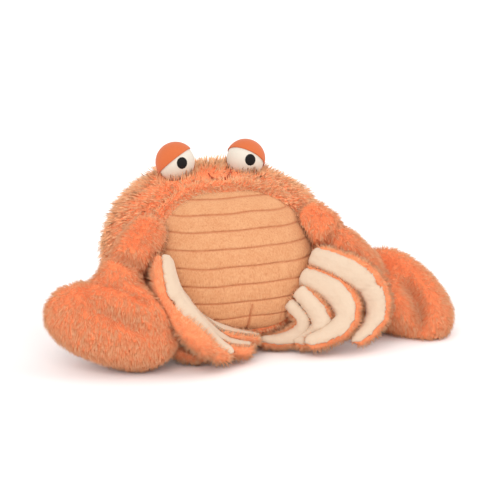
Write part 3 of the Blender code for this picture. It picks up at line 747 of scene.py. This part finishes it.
def makeEye(side):
    low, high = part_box(f"eye_{side}_white")
    centre = (low + high) / 2.0
    lidPoints = pointsOf(nodes[f"eye_{side}_lid"].data)
    outer = float(np.linalg.norm(lidPoints - np.array(centre), axis=1).max())
    lidWay = Vector(lidPoints.mean(axis=0)) - centre
    ballRadius = outer - eyeWish["lidThickness"]
    bm = bmesh.new()
    bmesh.ops.create_uvsphere(bm, u_segments=48, v_segments=32, radius=ballRadius)
    bm.transform(Matrix.Translation(centre))
    white = objectOf(f"eye_{side}_ball", meshFrom(bm, "ball"), paints["eye"])
    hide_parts(f"eye_{side}_white")

    rim = math.acos(eyeWish["lidLift"] / outer)
    inner = ballRadius + eyeWish["lidGap"]
    section = [(outer * math.sin(rim * n / 28), outer * math.cos(rim * n / 28)) for n in range(29)]
    hem = eyeWish["lidThickness"] / 2.0
    for n in range(1, 8):  # a rolled hem
        angle = math.pi * n / 8.0
        radius = (outer + inner) / 2.0 + hem * math.cos(angle)
        section.append((radius * math.sin(rim), radius * math.cos(rim) - hem * 0.9 * math.sin(angle)))
    section += [(inner * math.sin(rim * n / 14), inner * math.cos(rim * n / 14)) for n in range(14, -1, -1)]
    bm = turned(section, 56)
    bm.transform(Matrix.Translation(centre) @ lidWay.to_track_quat("Z", "Y").to_matrix().to_4x4())
    lid = objectOf(f"eye_{side}_lid_cloth", meshFrom(bm, "lid"), paints["lid"])
    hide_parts(f"eye_{side}_lid")

    pupilPoints = pointsOf(nodes[f"eye_{side}_pupil"].data)
    look = (Vector(pupilPoints.mean(axis=0)) - centre).normalized()
    sideways = Vector((0.0, 0.0, 1.0)).cross(look).normalized()
    rise = look.cross(sideways)
    bm = bmesh.new()
    rings = 14
    segments = 48
    layers = []
    for layer in range(2):
        sheet = []
        for ring in range(rings + 1):
            row = []
            share = ring / rings
            for n in range(segments):
                angle = 2.0 * math.pi * n / segments
                across = eyeWish["pupilWidth"] / 2.0 * math.cos(angle) * share
                along = eyeWish["pupilHeight"] / 2.0 * math.sin(angle) * share
                thread = math.sin((across * 0.9 + along * 0.25) / eyeWish["pupilWidth"]
                                  * 2.0 * math.pi * eyeWish["threads"] / 2.0)
                dome = eyeWish["pupilRise"] * (1.0 - share ** 4)
                raised = dome + thread * eyeWish["threadDepth"]
                radius = ballRadius + (raised if layer else -eyeWish["pupilSink"])
                way = (look * ballRadius + sideways * across + rise * along).normalized()
                row.append(bm.verts.new(centre + way * radius))
            sheet.append(row)
        layers.append(sheet)
    for layer, sheet in enumerate(layers):
        for lowRow, highRow in zip(sheet[:-1], sheet[1:]):
            for n in range(segments):
                m = (n + 1) % segments
                bm.faces.new((lowRow[n], lowRow[m], highRow[m], highRow[n]))
    for n in range(segments):
        m = (n + 1) % segments
        bm.faces.new((layers[0][-1][n], layers[1][-1][n], layers[1][-1][m], layers[0][-1][m]))
    bmesh.ops.remove_doubles(bm, verts=bm.verts[:], dist=0.000005)
    bmesh.ops.recalc_face_normals(bm, faces=bm.faces[:])
    pupil = objectOf(f"eye_{side}_pupil_thread", meshFrom(bm, "pupil"), paints["pupil"])
    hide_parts(f"eye_{side}_pupil")
    return [white, lid]


eyePieces = makeEye("left") + makeEye("right")
print("eyes made")


def mouthLine(count):  # the thread's line, just inside the crease
    knots = creaseLine(["body"], mouthWish["crease"])
    steps = np.linspace(0.0, len(knots) - 1.0, count)
    line = np.stack([np.interp(steps, np.arange(len(knots)), knots[:, k]) for k in range(3)], axis=1)
    for _ in range(3):
        line[1:-1] = (line[:-2] + line[1:-1] * 2.0 + line[2:]) / 4.0
    inside = unit(np.array([0.0, 0.03, 0.09]) - line)
    return [Vector(point) for point in line + inside * mouthWish["sink"]]


def makeMouth():
    line = mouthLine(40)
    bm = bmesh.new()
    rows = []
    for n, point in enumerate(line):
        ahead = line[min(n + 1, len(line) - 1)]
        behind = line[max(n - 1, 0)]
        way = (ahead - behind).normalized()
        sideways = way.cross(Vector((0.0, -1.0, 0.2))).normalized()
        rise = sideways.cross(way)
        end = math.sin(math.pi * min(max(n / (len(line) - 1), 0.03), 0.97)) ** 0.4
        row = []
        for k in range(12):
            angle = 2.0 * math.pi * k / 12
            ply = 1.0 + 0.22 * math.cos(2.0 * angle + n * 0.9)  # two plies twisted together
            reach = mouthWish["thread"] * end * ply
            row.append(bm.verts.new(point + (sideways * math.cos(angle) + rise * math.sin(angle)) * reach))
        rows.append(row)
    for low, high in zip(rows[:-1], rows[1:]):
        for k in range(12):
            m = (k + 1) % 12
            bm.faces.new((low[k], low[m], high[m], high[k]))
    bm.faces.new(rows[0][::-1])
    bm.faces.new(rows[-1])
    bmesh.ops.recalc_face_normals(bm, faces=bm.faces[:])
    made = objectOf("mouth_thread_line", meshFrom(bm, "mouth"), paints["mouth"])
    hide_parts("mouth_stitch")


makeMouth()
print("mouth made")

# Arms and claws: dense pile. Arm and mitten are one sewn skin, creased where it folds.
limbWish = {
    "voxel": 0.0026,
    "smoothing": 12,
    "share": 0.5,
    "inset": 0.0028,
    "fill": 0.75,
}
limbCreases = {
    "left": (
        {"start": (0.1680, -0.0560, 0.0620),
         "pixels": ((407, 280), (417, 295), (421, 312), (420, 326), (414, 333)),
         "width": 0.0075, "depth": 0.0150},  # the valley between the fingers
    ),
    "right": (
        {"pixels": ((90, 305), (106, 311), (122, 320), (137, 327), (155, 337)),
         "width": 0.0070, "depth": 0.0080},  # across the claw
        {"start": (-0.1500, -0.0560, 0.0860),
         "pixels": ((100, 279), (112, 282), (124, 286), (136, 292), (148, 302)),
         "width": 0.0042, "depth": 0.0055},  # where the claw meets the forearm
        {"start": (-0.1250, -0.0520, 0.1080), "pixels": ((117, 257), (130, 262), (138, 266)),
         "end": (-0.0960, -0.0640, 0.0840), "width": 0.0050, "depth": 0.0040},  # the elbow
    ),
}
limbSkins = {}
for side in ("left", "right"):
    limbNodes = [f"arm_{side}_upper", f"arm_{side}_fore", f"claw_{side}", f"pincer_{side}"]
    limbSkins[side] = softSkin(f"limb_{side}_backing", limbNodes, dict(limbWish, creases=limbCreases[side]),
                               paints["shortSkin"])
print("arms and claws made")

# Legs: a pile back and a smooth cream underside, cushioned between its seams
legWish = {
    "voxel": 0.0011,
    "smoothing": 20,
    "share": 0.4,
    "creamShare": 0.7,
    "fill": 0.6,
    "backInset": 0.0003,
    "creamInset": -0.0005,
    "cushion": 0.0036,
    "cushionReach": 0.011,
}
creamCreases = {  # the seams across the knees, and a hollow that shows the fourth leg's pile
    "left_1": ({"start": (0.1050, -0.0940, 0.0560), "pixels": ((361, 292), (369, 287), (378, 282)),
                "end": (0.1260, -0.1020, 0.0710), "width": 0.0030, "depth": 0.0030},),
    "left_2": ({"start": (0.0760, -0.0960, 0.0350), "pixels": ((335, 316), (345, 312)),
                "width": 0.0032, "depth": 0.0020},),
    "right_1": ({"pixels": ((167, 305), (173, 303)), "end": (-0.0720, -0.0965, 0.0690),
                 "width": 0.0036, "depth": 0.0034},),
    "right_4": ({"start": (-0.0700, -0.0835, 0.0235), "pixels": ((182, 345), (190, 352)),
                 "end": (-0.0550, -0.0935, 0.0115), "width": 0.0110, "depth": 0.0060},),
}
backCreases = {  # where the pile side swells
    "right_1": ({"pixels": ((178, 318), (190, 333), (203, 345), (216, 355)),
                 "width": 0.0100, "depth": -0.0065},),
}
creamInsets = {"right_2": 0.0026, "right_3": 0.0026}  # these lie slack behind the first leg
legSkins = {}
creamPieces = {}


def cushioned(cream, back):  # the filling pushes the cloth out between its seams
    points = pointsOf(cream.data)
    gaps = np.array([back.find_nearest(Vector(point))[3] for point in points])
    share = np.sin(np.clip(gaps / legWish["cushionReach"], 0.0, 1.0) * math.pi / 2.0)
    setPoints(cream.data, points + normalsOf(cream.data) * (share * legWish["cushion"])[:, None])


for side in ("left", "right"):
    for number in (1, 2, 3, 4):
        leg = f"{side}_{number}"
        halves = [f"leg_{leg}_back", f"leg_{leg}_underside"]
        backWish = dict(legWish, inset=legWish["backInset"], creases=backCreases.get(leg, ()))
        legSkins[leg] = softSkin(f"leg_{leg}_pile_backing", halves[:1], backWish,
                                 paints["legSkin"])
        creamWish = dict(legWish, inset=creamInsets.get(leg, legWish["creamInset"]),
                         share=legWish["creamShare"])
        cream = softSkin(f"leg_{leg}_cream", halves[1:], creamWish,
                         paints["cream"])
        if leg not in creamInsets:
            cushioned(cream, treeOf([legSkins[leg]]))
        dented(cream.data, halves, creamCreases.get(leg, ()))
        creamPieces[leg] = cream
print("legs made")

# Pile: each strand is a closed tapered spike, gathered into tufts
longPile = {
    "length": 0.0082,
    "width": 0.0011,
    "comb": 1.5,
    "drift": 0.14,
    "tuftDrift": 0.15,
    "tintDrift": 0.15,
    "pull": 0.22,
    "perTuft": 9,
    "droop": 0.06,
    "soft": 0.25,  # how far a strand is shaded like the cloth that it grows on
    "seed": 11,
    "long": {"count": 3000, "length": 0.0110, "comb": 1.1},
    "under": {"count": 16500},
}
limbPile = {
    "length": 0.0064,
    "width": 0.0009,
    "comb": 1.4,
    "drift": 0.15,
    "tuftDrift": 0.13,
    "tintDrift": 0.12,
    "pull": 0.32,
    "perTuft": 9,
    "droop": 0.06,
    "soft": 0.45,
    "seed": 23,
    "under": {"count": 24000},
}
legPile = {
    "length": 0.0062,
    "width": 0.0008,
    "comb": 1.0,
    "drift": 0.24,
    "tuftDrift": 0.22,
    "tintDrift": 0.22,
    "pull": 0.45,
    "perTuft": 9,
    "droop": 0.05,
    "soft": 0.65,
    "clear": 0.5,
    "seed": 47,
    "under": {"count": 5600},
}
nearLegPile = {"length": 0.0068, "droop": 0.15, "comb": 0.5, "clear": 0.8, "under": {"count": 6500}}

# How the pile gives way by the eyes, by the mouth, at a leg's rim and at the panel, and the painted shade
# that darkens it in the mouth crease
byEyes = {"ball": 0.020, "fade": 0.009, "longer": 0.1, "rise": 0.6}
byMouth = {"clear": 0.004, "fade": 0.010, "shortest": 0.22}
mouthShadeWish = {"clear": 0.005, "fade": 0.004, "darkest": 0.15}
byRim = {"reach": 0.008, "free": 0.2}
byPanel = {"under": -0.004, "seat": 0.003}
mouthSpots = np.array([point[:] for point in mouthLine(30)])
eyeSpots = np.array([[(a + b) / 2.0 for a, b in zip(*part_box(f"eye_{side}_white"))]
                     for side in ("left", "right")])


def nearEyes(spots):  # 1 beside an eye, fading to 0 a pile's length away
    gap = np.linalg.norm(spots[:, None] - eyeSpots[None], axis=2).min(axis=1) - byEyes["ball"]
    return np.exp(-((np.maximum(gap, 0.0) / byEyes["fade"]) ** 2))


def mouthGap(spots):
    return np.linalg.norm(spots[:, None] - mouthSpots[None], axis=2).min(axis=1)


def bodyLengths(spots):  # short in the mouth, a little longer beside the eyes
    gap = np.clip((mouthGap(spots) - byMouth["clear"]) / byMouth["fade"], 0.0, 1.0)
    share = byMouth["shortest"] + (1.0 - byMouth["shortest"]) * gap
    return share * (1.0 + byEyes["longer"] * nearEyes(spots))


def paintedMouthShade(spots):  # painted shade: the pile is darker in the mouth crease
    gap = np.clip((mouthGap(spots) - mouthShadeWish["clear"]) / mouthShadeWish["fade"], 0.0, 1.0)
    return mouthShadeWish["darkest"] + (1.0 - mouthShadeWish["darkest"]) * gap


def bodyLie(spots, ups):  # combed down and out, but up against the eyes
    crown = np.array([0.0, 0.045, 0.0])
    outward = unit((spots - crown) * np.array([0.5, 1.0, 0.0]) + np.array([0.0, 0.0, -0.05]))
    up = np.array([0.0, 0.0, byEyes["rise"]])
    close = nearEyes(spots)[:, None]
    return laid(ups, outward * (1.0 - close) + up * close)


def rimward(cream):  # a leg's pile lies towards the seam and over it
    tree = treeOf([cream])

    def lie(spots, ups):
        ends = np.array([tree.find_nearest(Vector(spot))[0] for spot in spots])
        gap = np.linalg.norm(ends - spots, axis=1)[:, None]
        return laid(ups, unit(ends - spots)) * np.clip(gap / byRim["reach"] - byRim["free"], 0.0, 1.0)

    return lie


def bellyEdge(spots, grow):  # above 1 outside the panel's outline
    low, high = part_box("belly_panel")
    across = np.abs(spots[:, 0]) / ((high.x - low.x) / 2.0 + grow)
    along = np.abs(spots[:, 2] - (low.z + high.z) / 2.0) / ((high.z - low.z) / 2.0 + grow)
    fullness = bellyShape["fullness"]
    return across ** fullness + along ** fullness


def shownBody(spots, sign):  # no pile under the panel or under the seat
    covered = (bellyEdge(spots, byPanel["under"]) < 1.0) & (spots[:, 1] < 0.0)
    return (spots[:, 0] * sign >= 0.0) & ~covered & (spots[:, 2] > byPanel["seat"])


# The collar: a strip of backing round the panel whose pile falls over its edge
collarWish = {
    "steps": 96,
    "inner": 0.0010,
    "outer": 0.0090,
    "sink": 0.0034,
    "thickness": 0.003,
    "least": 0.002,
    "pileFrom": 0.03,  # the height above which its pile grows
    "towards": (0.0, -0.07, 0.086),
    "drop": 0.35,
}


def inward(spots, ups):  # over the edge of the panel, and down
    middle = np.array(collarWish["towards"])
    return laid(ups, unit(middle - spots) + np.array([0.0, 0.0, -collarWish["drop"]]))


def makeCollar():
    low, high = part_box("belly_panel")
    middle = (low.z + high.z) / 2.0
    bm = bmesh.new()
    rows = []
    for grow in (collarWish["inner"], collarWish["outer"]):
        row = []
        for n in range(collarWish["steps"]):
            angle = 2.0 * math.pi * n / collarWish["steps"]
            cosine, sine = math.cos(angle), math.sin(angle)
            power = 2.0 / bellyShape["fullness"]
            x = math.copysign(abs(cosine) ** power, cosine) * ((high.x - low.x) / 2.0 + grow)
            z = middle + math.copysign(abs(sine) ** power, sine) * ((high.z - low.z) / 2.0 + grow)
            y = float(bodyFront(x, z)) + collarWish["sink"]
            row.append((x, y, max(z, collarWish["least"])))
        rows.append(row)
    sheets = []
    for sink in (0.0, collarWish["thickness"]):
        sheets.append([[bm.verts.new((x, y + sink, z)) for x, y, z in row] for row in rows])
    (frontIn, frontOut), (backIn, backOut) = sheets
    for n in range(collarWish["steps"]):
        m = (n + 1) % collarWish["steps"]
        for a, b in ((frontIn, frontOut), (backOut, backIn), (frontOut, backOut), (backIn, frontIn)):
            bm.faces.new((a[n], b[n], b[m], a[m]))
    bmesh.ops.recalc_face_normals(bm, faces=bm.faces[:])
    return objectOf("collar", meshFrom(bm, "collar"), paints["longSkin"])


collar = makeCollar()
collarPile = dict(longPile, length=0.0088, comb=0.9, seed=77, lie=inward, long=None, under={"count": 9000})
growPile("collar_pile", collar, collarPile, paints["longPile"],
         keep=lambda spots: spots[:, 2] > collarWish["pileFrom"])

longPile.update(shorten=bodyLengths, shade=paintedMouthShade, lie=bodyLie)
bodyTree = treeOf(eyePieces + [bellyPiece])
limbTree = treeOf([bodySkin, bellyPiece] + list(creamPieces.values()))
legTree = treeOf([bellyPiece] + list(creamPieces.values()))
for side, sign in (("left", 1.0), ("right", -1.0)):
    growPile(f"body_pile_{side}", bodySkin, dict(longPile, seed=longPile["seed"] + (side == "left")),
             paints["longPile"], bodyTree, lambda spots, s=sign: shownBody(spots, s))
    growPile(f"limb_{side}_pile", limbSkins[side], dict(limbPile, seed=limbPile["seed"] + (side == "left")),
             paints["shortPile"], limbTree)
    for number in (1, 2, 3, 4):
        leg = f"{side}_{number}"
        ownPile = dict(legPile, seed=legPile["seed"] + number, lie=rimward(creamPieces[leg]))
        ownPile.update(nearLegPile if leg == "right_1" else {})
        growPile(f"leg_{leg}_pile", legSkins[leg], ownPile, paints["legPile"], legTree)
print("pile grown")

def makeCamera(plan):
    lens = bpy.data.cameras.new("camera")
    lens.sensor_width = plan["sensor"]
    lens.lens = plan["sensor"] * plan["distance"] * plan["pixelsPerMetre"] / plan["imageSize"]
    made = bpy.data.objects.new("camera", lens)
    bpy.context.scene.collection.objects.link(made)
    turn = Matrix((view["right"], view["up"], view["back"])).transposed().to_4x4()
    made.matrix_world = Matrix.Translation(view["eye"]) @ turn
    bpy.context.scene.camera = made


makeCamera(viewPlan)

# Light: a bright even studio, a broad sun from the front left, and fainter ones from either side
lightPlan = {
    "world": 0.88,
    "main": {"power": 1.23, "spread": 50.0, "from": (-0.40, -0.85, 0.74)},
    "rim": {"power": 0.85, "spread": 45.0, "from": (0.95, -0.20, 0.70)},
    "side": {"power": 0.42, "spread": 60.0, "from": (-0.95, -0.10, 0.55)},
}


def makeSun(name, plan):
    sun = bpy.data.lights.new(name, "SUN")
    sun.energy = plan["power"]
    sun.angle = math.radians(plan["spread"])
    made = bpy.data.objects.new(name, sun)
    bpy.context.scene.collection.objects.link(made)
    made.rotation_euler = (-Vector(plan["from"])).to_track_quat("-Z", "Y").to_euler()


for sunName in ("main", "rim", "side"):
    makeSun(f"sun_{sunName}", lightPlan[sunName])


def makeWorld(strength):
    world = bpy.data.worlds.new("studio")
    bpy.context.scene.world = world
    world.use_nodes = True
    tree = world.node_tree
    background = tree.nodes["Background"]
    background.inputs["Color"].default_value = (1.0, 1.0, 1.0, 1.0)
    rays = tree.nodes.new("ShaderNodeLightPath")
    seen = tree.nodes.new("ShaderNodeMath")
    seen.operation = "MAXIMUM"
    tree.links.new(rays.outputs["Is Camera Ray"], seen.inputs[0])
    tree.links.new(rays.outputs["Is Glossy Ray"], seen.inputs[1])
    level = tree.nodes.new("ShaderNodeMapRange")
    level.inputs["To Min"].default_value = strength
    level.inputs["To Max"].default_value = 1.0
    tree.links.new(seen.outputs[0], level.inputs["Value"])
    tree.links.new(level.outputs[0], background.inputs["Strength"])


makeWorld(lightPlan["world"])


def makeFloor():
    bm = bmesh.new()
    bmesh.ops.create_grid(bm, x_segments=1, y_segments=1, size=12.0)
    mesh = meshFrom(bm, "floor")
    made = bpy.data.objects.new("floor", mesh)
    bpy.context.scene.collection.objects.link(made)
    paint = Paint("floor", 0.9)
    paint.feed("Base Color", (0.97, 0.94, 0.93, 1.0))
    mesh.materials.append(paint.material)


makeFloor()
bpy.context.scene.view_settings.view_transform = "Standard"
print("stage made")
